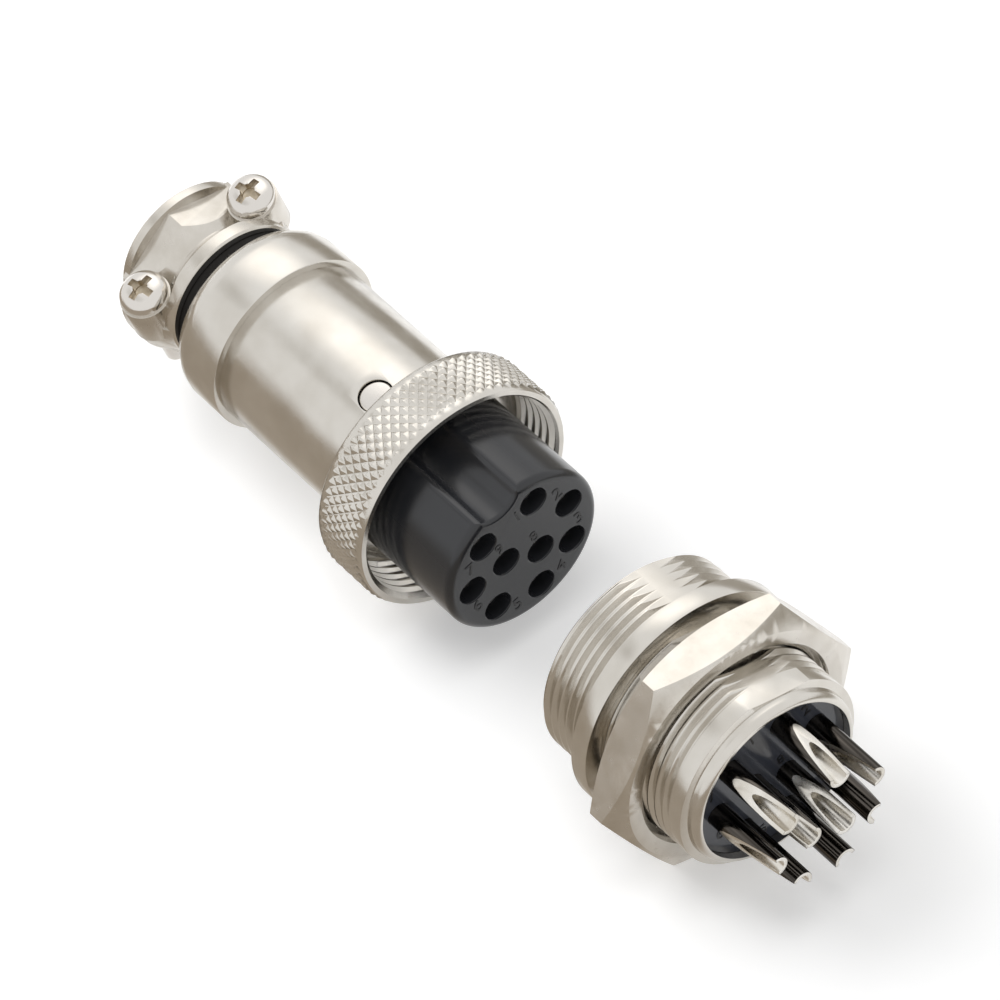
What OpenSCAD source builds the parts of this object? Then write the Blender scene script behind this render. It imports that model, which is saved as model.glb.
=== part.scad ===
// Nine-contact circular connector: a cable plug with coupling ring and cable clamp,
// and the panel socket that it mates with, held by a hex nut. The two halves stand
// apart on one axis, as they come off each other.
// The axis is X, with the cable end at -X. The origin is the centre of the rear face
// of the socket's flange, where the panel sits. Profiles are lists of [x, radius].

/* [Panel socket] */
// Major diameter of the panel thread
panel_thread_d = 20; // [19.8:0.1:20.2]
// Length of the panel thread behind the flange
panel_thread_l = 9.4; // [8.8:0.1:10]
// Major diameter of the coupling thread in front of the flange
coupling_thread_d = 21.2; // [21:0.1:21.4]
// Length of the coupling thread
coupling_thread_l = 6.4; // [5.8:0.1:6.4]
// Outer diameter of the flange
flange_d = 24.2; // [23.6:0.1:24.8]
// Thickness of the flange
flange_t = 2; // [1.6:0.1:2.4]
// Width of the hex nut across its flats
nut_af = 25; // [24:0.5:27]
// Thickness of the hex nut
nut_t = 4.1; // [3.5:0.1:4.6]
// Clear gap between the flange and the nut, for the panel
panel_gap = 2.1; // [2.1:0.1:2.6]

/* [Contacts] */
// Diameter of the circle of the seven outer contacts
pattern_d = 11.9; // [11.7:0.1:11.9]
// Diameter of the nose of a male pin
pin_d = 1.6; // [1.4:0.05:1.6]
// Diameter of a solder cup
cup_d = 2.3; // [2.1:0.05:2.4]
// Diameter of a contact hole in the plug's face
socket_hole_d = 2.9; // [2.7:0.05:2.9]
// Length of the solder cups behind the socket's insert
cup_l = 8.1; // [7.6:0.1:9]

/* [Cable plug] */
// Diameter of the insert's nose
nose_d = 17.2; // [17:0.05:17.25]
// Length of the insert's nose
nose_l = 12.9; // [12.9:0.1:13.4]
// Outer diameter of the coupling ring
ring_d = 24.2; // [24:0.1:25]
// Length of the coupling ring
ring_l = 6.5; // [6.3:0.1:7.5]
// Outer diameter of the barrel
barrel_d = 17.15; // [17.05:0.05:17.3]
// Length of the barrel between the lip and the tail ring
barrel_l = 19.65; // [19:0.05:22]
// Outer diameter of the tail ring
tail_ring_d = 18.6; // [18.5:0.1:19]
// Length of the tail ring
tail_ring_l = 7.2; // [7:0.1:8]

/* [Cable clamp] */
// Diameter of the cable passage
cable_d = 8.8; // [7.5:0.1:8.8]
// Diameter of the clamp's collar
collar_d = 14.8; // [14.6:0.1:15]
// Distance between the two clamp screws
screw_spacing = 13.4; // [13.3:0.1:13.6]
// Diameter of a clamp screw's head
screw_head_d = 4.6; // [4.4:0.1:4.8]
// Slope of the two facets, in degrees
facet_slope = 27; // [24:1:29]

/* [Layout] */
// Gap between the socket and the plug's face when they are apart
halves_gap = 15.2; // [8:0.1:30]
// Roll of the key and the clamp about the axis, in degrees
key_roll = 14.2; // [0:0.1:25]
// Roll of the milled flat on the threads, in degrees
flat_roll = -13.3; // [-25:0.1:0]

/* [Hidden] */
$fn = 96;
nickel = "#c9c5bd";
silver = "#dedbd2";
black_plastic = "#2b2b2f";
black_rubber = "#151515";
eps = 0.01;
reach = 60;                                   // longer than any piece that is cut

// Clearances
run_gap = 0.05;                               // a turning or sliding fit
seat_gap = 0.02;                              // a piece that sits fast in its place
thread_gap = 0.075;                           // between two plain thread crests
edge = 0.25;                                  // broken edge of a turned piece
thread_edge = 0.55;                           // chamfer at the start of a thread

// Stations of the panel socket along the axis
shell_front = -flange_t - coupling_thread_l;
band_l = 1.1;                                 // plain band behind the panel thread
rim_l = 1.3;                                  // rim behind the band
rim_round = 0.75;
relief_l = 0.6;                               // run-out groove of the coupling thread
shell_rear = panel_thread_l + band_l + rim_l;
insert_recess = 1;
insert_rear = shell_rear - insert_recess;
insert_step = 5.8;                            // where the insert seats in the shell
insert_front = insert_step - 1.2;             // the insert's shoulder is 1.2 thick
pin_shoulder = insert_step + 0.4;
pin_tip = shell_front + 2;
cup_tip = insert_rear + cup_l;

// Radii of the panel socket
front_bore_r = nose_d / 2 + 0.15;
rear_bore_r = 8.5;
rim_r = panel_thread_d / 2 - 0.8;
relief_r = coupling_thread_d / 2 - 0.85;      // at the root of the coupling thread
coupling_flat = coupling_thread_d / 2 - 0.35; // height of the milled flat
panel_flat = panel_thread_d / 2 - 0.62;
key_w = 4.2;
key_h = 7.55;                                 // height of the key's flat top

// Stations of the cable plug
plug_face = shell_front - halves_gap;
lip_front = plug_face - nose_l;
lip_rear = lip_front - 1;
web_front = lip_rear - 0.02;
ring_rear = lip_rear - 1.3;
ring_front = ring_rear + ring_l;
spigot_rear = lip_front - 10;
contact_recess = 1.8;
contact_step = lip_front;                     // where the plug's contacts seat
plug_cup_tip = spigot_rear - cup_l;
tail_front = lip_rear - barrel_l;
barrel_rear = tail_front - 3.35;
tail_rear = tail_front - tail_ring_l;
sleeve_seat = tail_rear + 1.75;               // inner face of the tail ring's rear wall
sleeve_rear = tail_rear - 1.3;
sleeve_lip = barrel_rear - 1.1;
insert_screw_x = lip_rear - 3.7;

// Radii of the cable plug
barrel_r = barrel_d / 2;
lip_r = 9.6;
spigot_r = 7.8;
chamber_r = 7.4;
tail_thread_r = 8.1;
ring_bore_r = barrel_r + run_gap;
ring_cavity_r = coupling_thread_d / 2 + thread_gap;
ring_mouth_r = ring_cavity_r + 0.5;
ring_mouth_l = 0.6;
ring_bevel = 0.55;
keyway_half = 16.5;                           // half angle of the keyway, in degrees
keyway_r = 7.3;
sleeve_r = 7.05;
sleeve_flange_r = 7.2;                        // in front of the clamp's collar
sleeve_flange_t = 0.5;
neck_r = 6;
neck_lip_r = neck_r + 0.9;
insert_screw_r = 1.7;
insert_screw_seat = 7.2;
insert_screw_shank_r = 0.8;
insert_screw_l = 2;

// Stations and heights of the cable clamp; heights are measured towards the key
collar_l = 1.4;
collar_round = 0.2;
collar_rear = sleeve_rear - collar_l;
cove_r = 5.3;                                 // waist between collar and facets
cove_arc = 2.05;
cove_x = collar_rear - 0.2 - cove_arc;
clamp_rear = collar_rear - 6.9;
clamp_rim_t = 1.1;
clamp_rim_r = 7.05;
clamp_screw_x = collar_rear - 2.3;
ridge_h = 6.6;
seat_h = 4.3;
boss_r = 2.45;
parting_h = -2.3;
saddle_gap = 0.15;
saddle_low = -5.2;
shank_r = 1.15;
shank_low = -5.7;
screw_head_h = 1.6;

// Polar places of the contacts: [radius, angle from the key]. One to seven go round
// the pattern circle, spaced evenly past the key; eight and nine stand inside it.
key_space = 62;
outer_step = (360 - key_space) / 6;
function outer_angle(i) = key_space / 2 + (i - 1) * outer_step;
contact_places = concat(
    [for (i = [1:7]) [pattern_d / 2, outer_angle(i)]],
    [[2.17, 135], [2, -68.5]]
);
// Direction in which each solder cup is open, as an angle from the key
cup_turn = concat([outer_angle(1), -70], [for (i = [3:7]) outer_angle(i)], [-10, -40]);

// Points of an arc from angle a to angle b, as [x, radius]
function arc(x, r, radius, a, b, steps = 8) = [
    for (k = [0:steps]) let (t = a + (b - a) * k / steps)
        [x + radius * cos(t), r + radius * sin(t)]
];

// Solid turned about the X axis from a profile of [x, radius]
module turned(profile) {
    rotate([0, 90, 0]) rotate_extrude() polygon([for (p = profile) [p[1], p[0]]]);
}

// Round bar along X from x0 to x1
module bar(x0, x1, r) {
    translate([x0, 0, 0]) rotate([0, 90, 0]) cylinder(h = x1 - x0, r = r);
}

// Turns a piece so that its +Z side faces the key
module keyed() {
    rotate([key_roll, 0, 0]) children();
}

// Carries a piece from the axis to the place of contact number i
module at_contact(i) {
    place = contact_places[i - 1];
    rotate([-place[1], 0, 0]) translate([0, 0, place[0]]) rotate([place[1], 0, 0]) children();
}

// Solder cup on the axis, open towards +Z, from x0 to its tip at x1 (either way)
module solder_cup(x0, x1) {
    scoop_l = 6.6;
    bore_l = 5.5;
    bore_r = 0.75;
    way = sign(x1 - x0);
    r = cup_d / 2;
    difference() {
        bar(min(x0, x1), max(x0, x1), r);
        bar(min(x1 - way * bore_l, x1 + way), max(x1 - way * bore_l, x1 + way), bore_r);
        rotate([90, 0, 0]) linear_extrude(2 * cup_d, center = true) polygon([
            [x1 - way * scoop_l, r], [x1, 0], [x1 + way, 0],
            [x1 + way, 2 * r], [x1 - way * scoop_l, 2 * r]
        ]);
    }
}

module barrel() {
    color(nickel) difference() {
        turned(concat(
            [[barrel_rear, chamber_r - 1], [barrel_rear, tail_thread_r - edge]],
            [[barrel_rear + edge, tail_thread_r], [tail_front, tail_thread_r]],
            [[tail_front, barrel_r], [lip_rear, barrel_r], [lip_rear, lip_r]],
            [[lip_front - edge, lip_r], [lip_front, lip_r - edge], [lip_front, spigot_r - 1]]
        ));
        bar(spigot_rear, lip_front + 1, spigot_r + run_gap);
        bar(barrel_rear - 1, spigot_rear + 1, chamber_r);
        keyed() translate([insert_screw_x, 0, chamber_r])
            cylinder(h = 3, r = insert_screw_r + seat_gap);
    }
}

module coupling_ring() {
    outer_r = ring_d / 2;
    color(nickel) turned([
        [ring_rear, ring_bore_r], [ring_rear, outer_r - ring_bevel],
        [ring_rear + ring_bevel, outer_r], [ring_front - ring_bevel / 2, outer_r],
        [ring_front, outer_r - ring_bevel / 2], [ring_front, ring_mouth_r],
        [ring_front - ring_mouth_l, ring_cavity_r], [web_front, ring_cavity_r],
        [web_front, ring_bore_r]
    ]);
}

module plug_insert() {
    nose_r = nose_d / 2;
    nose_round = 0.8;
    key_half_w = nose_r * tan(keyway_half);
    shoulder_w = 0.55;                        // rounded shoulders beside the keyway
    color(black_plastic) keyed() difference() {
        turned(concat(
            [[spigot_rear, 0], [spigot_rear, spigot_r], [lip_front, spigot_r]],
            [[lip_front, nose_r]],
            arc(plug_face - nose_round, nose_r - nose_round, nose_round, 90, 0),
            [[plug_face, 0]]
        ));
        difference() {
            translate([lip_front + 1, -key_half_w, keyway_r])
                cube([reach, 2 * key_half_w, reach]);
            for (side = [-1, 1]) translate([lip_front, side * key_half_w, keyway_r])
                rotate([side * 45, 0, 0]) translate([0, -shoulder_w / 2, -shoulder_w / 2])
                    cube([reach, shoulder_w, shoulder_w]);
        }
        for (i = [1:9]) at_contact(i) {
            bar(contact_step, plug_face + 1, socket_hole_d / 2);
            bar(spigot_rear - 1, contact_step + 1, cup_d / 2 + seat_gap);
        }
        translate([insert_screw_x, 0, insert_screw_seat])
            cylinder(h = 2, r = insert_screw_r + seat_gap);
        translate([insert_screw_x, 0, insert_screw_seat - insert_screw_l - 0.2])
            cylinder(h = 3, r = insert_screw_shank_r + seat_gap);
    }
}

module insert_screw() {
    head_top = barrel_r - 0.1;
    slot_w = 0.5;
    slot_h = 0.5;
    color(nickel) keyed() translate([insert_screw_x, 0, 0]) difference() {
        union() {
            translate([0, 0, insert_screw_seat])
                cylinder(h = head_top - insert_screw_seat, r = insert_screw_r);
            translate([0, 0, insert_screw_seat - insert_screw_l])
                cylinder(h = insert_screw_l + 0.1, r = insert_screw_shank_r);
        }
        translate([-2, -slot_w / 2, head_top - slot_h]) cube([4, slot_w, 1]);
    }
}

module plug_contact(i) {
    contact_r = socket_hole_d / 2 - seat_gap;
    floor_t = 1;
    bore_r = pin_d / 2 + run_gap;
    front = plug_face - contact_recess;
    color(silver) keyed() at_contact(i) {
        difference() {
            bar(contact_step, front, contact_r);
            bar(contact_step + floor_t, front + 1, bore_r);
        }
        rotate([-cup_turn[i - 1], 0, 0]) solder_cup(contact_step + eps, plug_cup_tip);
    }
}

module tail_ring() {
    outer_r = tail_ring_d / 2;
    rim_t = 0.25;                             // narrow lip round the cable hole
    thread_r = tail_thread_r + run_gap;
    color(nickel) turned([
        [tail_rear, sleeve_r + run_gap], [tail_rear, sleeve_r + rim_t],
        [tail_rear + 0.35, outer_r - 1.7], [tail_rear + 1, outer_r - 0.8],
        [tail_rear + 2, outer_r - 0.2], [tail_rear + 2.9, outer_r],
        [tail_front - edge, outer_r], [tail_front, outer_r - edge], [tail_front, thread_r],
        [sleeve_seat, thread_r], [sleeve_seat, sleeve_r + run_gap]
    ]);
}

module cable_sleeve() {
    color(black_rubber) turned([
        [sleeve_rear, neck_r + seat_gap], [sleeve_rear, sleeve_flange_r],
        [sleeve_rear + sleeve_flange_t, sleeve_flange_r],
        [sleeve_rear + sleeve_flange_t, sleeve_r], [sleeve_seat, sleeve_r],
        [sleeve_seat, tail_thread_r], [barrel_rear, tail_thread_r],
        [barrel_rear, neck_lip_r + run_gap], [sleeve_lip, neck_lip_r + run_gap],
        [sleeve_lip, neck_r + seat_gap]
    ]);
}

// Round neck, collar and waist of the clamp, in one turned piece
module clamp_core() {
    turned(concat(
        [[clamp_rear, 0], [clamp_rear, clamp_rim_r - edge], [clamp_rear + edge, clamp_rim_r]],
        [[clamp_rear + clamp_rim_t, clamp_rim_r], [clamp_rear + clamp_rim_t, cove_r]],
        arc(cove_x, cove_r + cove_arc, cove_arc, -90, -8),
        [[collar_rear, collar_d / 2], [sleeve_rear - collar_round, collar_d / 2]],
        [[sleeve_rear, collar_d / 2 - collar_round], [sleeve_rear, neck_r]],
        [[sleeve_lip, neck_r], [sleeve_lip, neck_lip_r]],
        [[barrel_rear, neck_lip_r], [barrel_rear, 0]]
    ));
}

// Block behind the waist with two facets that meet in a ridge on the key side
module facet_block() {
    half_w = 6.6;
    side_h = ridge_h - half_w * tan(facet_slope);
    corner_r = 7.6;                           // where the two facets end in a cone
    cone_x = clamp_rear + 1.7;
    waist_x = cove_x + 0.4;
    intersection() {
        translate([clamp_rear + clamp_rim_t / 2, 0, 0]) rotate([90, 0, 90])
            linear_extrude(waist_x - clamp_rear) polygon([
                [0, ridge_h], [half_w, side_h], [half_w, parting_h],
                [-half_w, parting_h], [-half_w, side_h]
            ]);
        turned([
            [clamp_rear, 0], [clamp_rear, corner_r], [cone_x, corner_r],
            [waist_x, cove_r], [waist_x, 0]
        ]);
    }
}

// Shoulders that carry the two screw bosses, between heights low and high
module clamp_shoulders(low, high) {
    shoulder_r = 8.9;
    start_x = clamp_rear + clamp_rim_t / 2;
    end_x = sleeve_rear - collar_l / 2;
    intersection() {
        turned([
            [start_x, 0], [start_x, clamp_rim_r],
            [clamp_screw_x - 2.3, shoulder_r], [clamp_screw_x - 0.4, shoulder_r],
            [end_x, collar_d / 2], [end_x, 0]
        ]);
        translate([clamp_rear, -reach / 2, low]) cube([reach, reach, high - low]);
    }
}

module clamp_body() {
    boss_low = 0.2;
    shoulder_top = 1.8;
    pocket_h = 1.8;
    color(nickel) keyed() difference() {
        union() {
            clamp_core();
            facet_block();
            clamp_shoulders(parting_h, shoulder_top);
            for (side = [-1, 1]) translate([clamp_screw_x, side * screw_spacing / 2, boss_low])
                cylinder(h = seat_h - boss_low, r = boss_r);
        }
        bar(clamp_rear - 1, barrel_rear + 1, cable_d / 2);
        translate([clamp_rear - 1, -reach / 2, -reach + parting_h])
            cube([cove_x - clamp_rear + 1, reach, reach]);
        translate([clamp_rear - 1, -reach / 2, -reach + parting_h])
            difference() {
                cube([collar_rear - clamp_rear + 1, reach, reach]);
                translate([cove_x - clamp_rear, reach / 2 - collar_d / 2, 0])
                    cube([10, collar_d, reach + 1]);
            }
        for (side = [-1, 1]) translate([clamp_screw_x, side * screw_spacing / 2, 0]) {
            translate([0, 0, seat_h]) cylinder(h = pocket_h, r1 = boss_r, r2 = boss_r + 1);
            translate([0, 0, parting_h - 1]) cylinder(h = 9, r = shank_r + 2 * run_gap);
        }
    }
}

module clamp_saddle() {
    saddle_top = parting_h - 0.1;
    collar_gap_r = collar_d / 2 + 0.2;
    color(nickel) keyed() difference() {
        intersection() {
            union() {
                turned([
                    [clamp_rear, 0], [clamp_rear, clamp_rim_r - edge],
                    [clamp_rear + edge, clamp_rim_r], [cove_x - saddle_gap, clamp_rim_r],
                    [cove_x - saddle_gap, 0]
                ]);
                clamp_shoulders(saddle_low, saddle_top);
            }
            translate([clamp_rear - 1, -reach / 2, -reach + saddle_top])
                cube([collar_rear - saddle_gap - clamp_rear + 1, reach, reach]);
        }
        bar(clamp_rear - 1, collar_rear, cable_d / 2);
        turned([
            [cove_x - saddle_gap, 0], [cove_x - saddle_gap, cove_r + saddle_gap],
            [collar_rear - 0.1, collar_gap_r], [sleeve_rear, collar_gap_r],
            [sleeve_rear, 0]
        ]);
        for (side = [-1, 1]) translate([clamp_screw_x, side * screw_spacing / 2, -9])
            cylinder(h = 9, r = shank_r + seat_gap);
    }
}

module clamp_screw(side) {
    head_r = screw_head_d / 2;
    recess_w = 0.6;
    recess_l = 2.5;
    recess_h = 0.9;
    color(nickel) keyed() translate([clamp_screw_x, side * screw_spacing / 2, 0]) difference() {
        union() {
            translate([0, 0, shank_low]) cylinder(h = seat_h - shank_low, r = shank_r);
            translate([0, 0, seat_h]) rotate_extrude() polygon(concat(
                [[0, 0], [head_r, 0], [head_r, 0.35 * screw_head_h]],
                [for (t = [15:15:90]) [
                    head_r - 1.25 * (1 - cos(t)),
                    screw_head_h * (0.35 + 0.65 * sin(t))
                ]],
                [[0, screw_head_h]]
            ));
        }
        for (turn = [10, 100]) rotate([0, 0, turn])
            translate([-recess_l / 2, -recess_w / 2, seat_h + screw_head_h - recess_h])
                cube([recess_l, recess_w, 2]);
    }
}

module socket_shell() {
    thread_r = panel_thread_d / 2;
    coupling_r = coupling_thread_d / 2;
    flange_r = flange_d / 2;
    color(nickel) {
        difference() {
            turned(concat(
                [[shell_front, front_bore_r], [shell_front, coupling_r - thread_edge]],
                [[shell_front + thread_edge, coupling_r], [-flange_t - relief_l, coupling_r]],
                [[-flange_t - relief_l, relief_r], [-flange_t, relief_r]],
                [[-flange_t, flange_r - edge], [-flange_t + edge, flange_r]],
                [[-edge, flange_r], [0, flange_r - edge], [0, thread_r]],
                [[shell_rear - rim_l, thread_r]],
                arc(shell_rear - rim_round, rim_r - edge / 5, rim_round, 80, 0),
                [[shell_rear, rear_bore_r], [insert_step, rear_bore_r]],
                [[insert_step, front_bore_r]]
            ));
            rotate([flat_roll, 0, 0]) {
                translate([shell_front - 1, -reach / 2, coupling_flat])
                    cube([coupling_thread_l + 1, reach, reach]);
                translate([0, -reach / 2, panel_flat]) cube(reach);
            }
        }
        keyed() intersection() {
            bar(shell_front + 1, insert_front, front_bore_r + edge);
            translate([shell_front, -key_w / 2, key_h]) cube([reach, key_w, reach]);
        }
    }
}

module hex_nut() {
    flat_r = nut_af / 2;
    corner_r = flat_r / cos(30);
    face_r = flat_r - edge;                   // edge of the round end faces
    blank_r = corner_r + edge;
    chamfer = (blank_r - face_r) * tan(30);
    bore_r = panel_thread_d / 2 + run_gap;
    sink = 0.75;                              // countersink at both ends of the bore
    color(nickel) translate([panel_gap, 0, 0]) difference() {
        intersection() {
            rotate([0, 90, 0]) rotate([0, 0, 30]) cylinder(h = nut_t, r = corner_r, $fn = 6);
            turned([
                [0, 0], [0, face_r], [chamfer, blank_r],
                [nut_t - chamfer, blank_r], [nut_t, face_r], [nut_t, 0]
            ]);
        }
        bar(-1, nut_t + 1, bore_r);
        turned([[-eps, 0], [-eps, bore_r + sink + eps], [sink, bore_r], [sink, 0]]);
        turned([
            [nut_t - sink, 0], [nut_t - sink, bore_r],
            [nut_t + eps, bore_r + sink + eps], [nut_t + eps, 0]
        ]);
    }
}

module socket_insert() {
    front_r = front_bore_r - seat_gap;
    rear_r = rear_bore_r - seat_gap;
    color(black_plastic) keyed() difference() {
        turned([
            [insert_front, 0], [insert_front, front_r], [insert_step, front_r],
            [insert_step, rear_r], [insert_rear, rear_r], [insert_rear, 0]
        ]);
        for (i = [1:9]) at_contact(i) {
            bar(insert_front - 1, pin_shoulder + 1, pin_d / 2 + seat_gap);
            bar(pin_shoulder, insert_rear + 1, cup_d / 2 + seat_gap);
        }
    }
}

module pin(i) {
    r = pin_d / 2;
    color(silver) keyed() at_contact(i) {
        turned(concat(
            [[pin_tip, 0]], arc(pin_tip + r, 0, r, 165, 90, 5),
            [[pin_shoulder + eps, r], [pin_shoulder + eps, 0]]
        ));
        rotate([-cup_turn[i - 1], 0, 0]) solder_cup(pin_shoulder, cup_tip);
    }
}

barrel();
coupling_ring();
plug_insert();
insert_screw();
for (i = [1:9]) plug_contact(i);
tail_ring();
cable_sleeve();
clamp_body();
clamp_saddle();
clamp_screw(-1);  // clamp_screw_1
clamp_screw(1);  // clamp_screw_2
socket_shell();
hex_nut();
socket_insert();
for (i = [1:9]) pin(i);
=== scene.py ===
"""Looks of the nine-contact circular connector: knurled ring, cut threads, cast clamp, plating."""
from math import cos, pi, radians, sin, tan

import bpy
from mathutils import Matrix, Vector


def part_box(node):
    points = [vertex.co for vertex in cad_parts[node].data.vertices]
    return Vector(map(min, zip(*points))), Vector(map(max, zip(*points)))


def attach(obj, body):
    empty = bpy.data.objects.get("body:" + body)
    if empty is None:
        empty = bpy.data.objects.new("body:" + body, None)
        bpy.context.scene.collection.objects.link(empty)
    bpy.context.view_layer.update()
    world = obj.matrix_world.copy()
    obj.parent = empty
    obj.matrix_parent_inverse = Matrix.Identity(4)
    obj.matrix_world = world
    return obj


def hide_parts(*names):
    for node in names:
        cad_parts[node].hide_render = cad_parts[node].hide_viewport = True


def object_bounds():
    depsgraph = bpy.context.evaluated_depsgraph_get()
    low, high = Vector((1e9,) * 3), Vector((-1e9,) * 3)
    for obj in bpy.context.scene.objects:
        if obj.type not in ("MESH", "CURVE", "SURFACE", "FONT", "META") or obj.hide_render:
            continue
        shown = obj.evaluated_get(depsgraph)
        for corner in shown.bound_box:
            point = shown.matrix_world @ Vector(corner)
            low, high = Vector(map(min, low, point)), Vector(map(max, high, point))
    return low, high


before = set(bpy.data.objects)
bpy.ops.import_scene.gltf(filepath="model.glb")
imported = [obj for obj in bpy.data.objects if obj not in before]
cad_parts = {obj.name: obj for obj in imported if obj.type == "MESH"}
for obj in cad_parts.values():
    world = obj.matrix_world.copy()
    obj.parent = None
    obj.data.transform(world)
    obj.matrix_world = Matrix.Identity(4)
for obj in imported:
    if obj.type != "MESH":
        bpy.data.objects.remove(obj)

# Sizes are in millimetres, and MM makes them metres, unless a comment says otherwise.
cad_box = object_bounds()
MM = 0.001
QUARTER = pi / 2
SLIVER = 0.002 * MM              # faces thinner than this are cleared away
MERGE = 1e-7                     # metres, within which points are one
KEY_ROLL = radians(14.2)         # roll of the key and the clamp about the axis
FLAT_ROLL = radians(-13.3)       # roll of the milled flat on the socket's threads


# ---------------------------------------------------------------- camera and light

VIEW_TURN = radians(57.5)        # between the axis and the line of sight
VIEW_TILT = radians(24.6)        # of the view's upper side, about the axis
IMAGE_TURN = radians(42)         # the axis runs down to the right by this much
VIEW_DISTANCE = 0.876            # metres
VIEW_LENS = 350
AIM_ALONG, AIM_BESIDE = -29.2, 2.05
toward_side = Vector((0, cos(VIEW_TILT), sin(VIEW_TILT)))
toward_top = Vector((0, -sin(VIEW_TILT), cos(VIEW_TILT)))
to_camera = Vector((cos(VIEW_TURN), 0, 0)) + sin(VIEW_TURN) * toward_top
along = Vector((sin(VIEW_TURN), 0, 0)) - cos(VIEW_TURN) * toward_top
image_right = cos(IMAGE_TURN) * along + sin(IMAGE_TURN) * toward_side
image_up = -sin(IMAGE_TURN) * along + cos(IMAGE_TURN) * toward_side
aim = Vector((AIM_ALONG * MM, 0, 0)) + AIM_BESIDE * MM * toward_side

# Lamps: name, direction, distance and width in metres, power in watts
LAMPS = [
    ("key", 0.35 * to_camera - 0.75 * image_right + 0.75 * image_up, 0.6, 0.45, 2.2),
    ("overhead", 0.9 * to_camera + 0.5 * image_up, 0.8, 0.3, 0.9),
    ("fill", 0.4 * to_camera + 1.0 * image_right + 0.2 * image_up, 0.8, 0.4, 0.6),
]
WORLD_LIGHT = (0.5, 0.5, 0.5, 1)
TABLE_SHADE = (0.86, 0.86, 0.86, 1)
TABLE_SIZE = 3                   # metres
TABLE_DROP = 0.02                # the table's place under the lowest point
TABLE_LIFT = 0.3                 # glow that takes the table's shade to white
WHITE = (1, 1, 1, 1)

BRIGHT, MIDDLE = (1.75, 1.72, 1.68), (0.74, 0.73, 0.71)
DUSK_LOW, DUSK_HIGH = (0.43, 0.375, 0.31), (0.43, 0.40, 0.35)
CARD_DISTANCE, CARD_DEPTH = 0.4, 0.5     # metres
# Cards round the axis: name, roll and spread in degrees, glow, feather
CARDS = [
    ("strip", 51, 68, BRIGHT, 0.42),
    ("card_mid", -3, 26, MIDDLE, 0.45),
    ("card_low", -82, 56, DUSK_LOW, 0.35),
    ("card_high", 118, 40, DUSK_HIGH, 0.3),
]
SHEET_RISE, SHEET_X = 0.15, -40  # over the lowest point, and along the axis
SHEET_LENGTH = 0.5               # metres
# Sheets over the table at both sides: name, middle in mm, depth in metres, glow, feather
SHEETS = [
    ("sheet_low", -154, 0.3, DUSK_LOW, 0.03),
    ("sheet_high", 220, 0.36, DUSK_HIGH, 0.06),
]


def make_camera():
    turn = Matrix((image_right, image_up, to_camera)).transposed()
    bpy.ops.object.camera_add(location=aim + VIEW_DISTANCE * to_camera,
                              rotation=turn.to_euler())
    camera = bpy.context.object
    camera.name = "camera"
    camera.data.lens = VIEW_LENS
    camera.data.sensor_width = 36
    camera.data.clip_start = 0.05
    camera.data.clip_end = 10
    bpy.context.scene.camera = camera


def softbox(name, direction, distance, size, power):
    """Lamp for the matt faces and the shadow; what the plating mirrors are the cards."""
    toward = direction.normalized()
    bpy.ops.object.light_add(type="AREA", location=aim + distance * toward,
                             rotation=toward.to_track_quat("Z", "Y").to_euler())
    lamp = bpy.context.object
    lamp.name = name
    lamp.data.size = size
    lamp.data.energy = power
    lamp.visible_glossy = False


def feathered_glow(name, glow_colour, feather):
    """Glow that fades away towards the card's edges, over a share of its width."""
    edge = 0.5                   # of a card, in its own coordinates
    finish = bpy.data.materials.new(name)
    finish.use_nodes = True
    nodes, links = finish.node_tree.nodes, finish.node_tree.links
    nodes.clear()
    place = nodes.new("ShaderNodeTexCoord")
    split = nodes.new("ShaderNodeSeparateXYZ")
    links.new(place.outputs["Object"], split.inputs[0])
    both = nodes.new("ShaderNodeMath")
    both.operation = "MULTIPLY"
    for k, side in enumerate(("X", "Y")):
        away = nodes.new("ShaderNodeMath")
        away.operation = "ABSOLUTE"
        fade = nodes.new("ShaderNodeMapRange")
        fade.interpolation_type = "SMOOTHSTEP"
        fade.inputs["From Min"].default_value = edge
        fade.inputs["From Max"].default_value = edge - feather
        links.new(split.outputs[side], away.inputs[0])
        links.new(away.outputs[0], fade.inputs["Value"])
        links.new(fade.outputs["Result"], both.inputs[k])
    clear = nodes.new("ShaderNodeBsdfTransparent")
    glow = nodes.new("ShaderNodeEmission")
    glow.inputs["Color"].default_value = (*glow_colour, 1)
    blend = nodes.new("ShaderNodeMixShader")
    out = nodes.new("ShaderNodeOutputMaterial")
    links.new(both.outputs[0], blend.inputs[0])
    links.new(clear.outputs[0], blend.inputs[1])
    links.new(glow.outputs[0], blend.inputs[2])
    links.new(blend.outputs[0], out.inputs[0])
    return finish


def card(name, location, turn, width, height, glow_colour, feather):
    """A card that only reflections see, for the tones on the plating."""
    bpy.ops.mesh.primitive_plane_add(size=1, location=location, rotation=turn)
    sheet = bpy.context.object
    sheet.name = name
    sheet.scale = (width, height, 1)
    sheet.data.materials.append(feathered_glow(name, glow_colour, feather))
    sheet.visible_camera = False
    sheet.visible_diffuse = False
    sheet.visible_transmission = False
    sheet.visible_shadow = False


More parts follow.
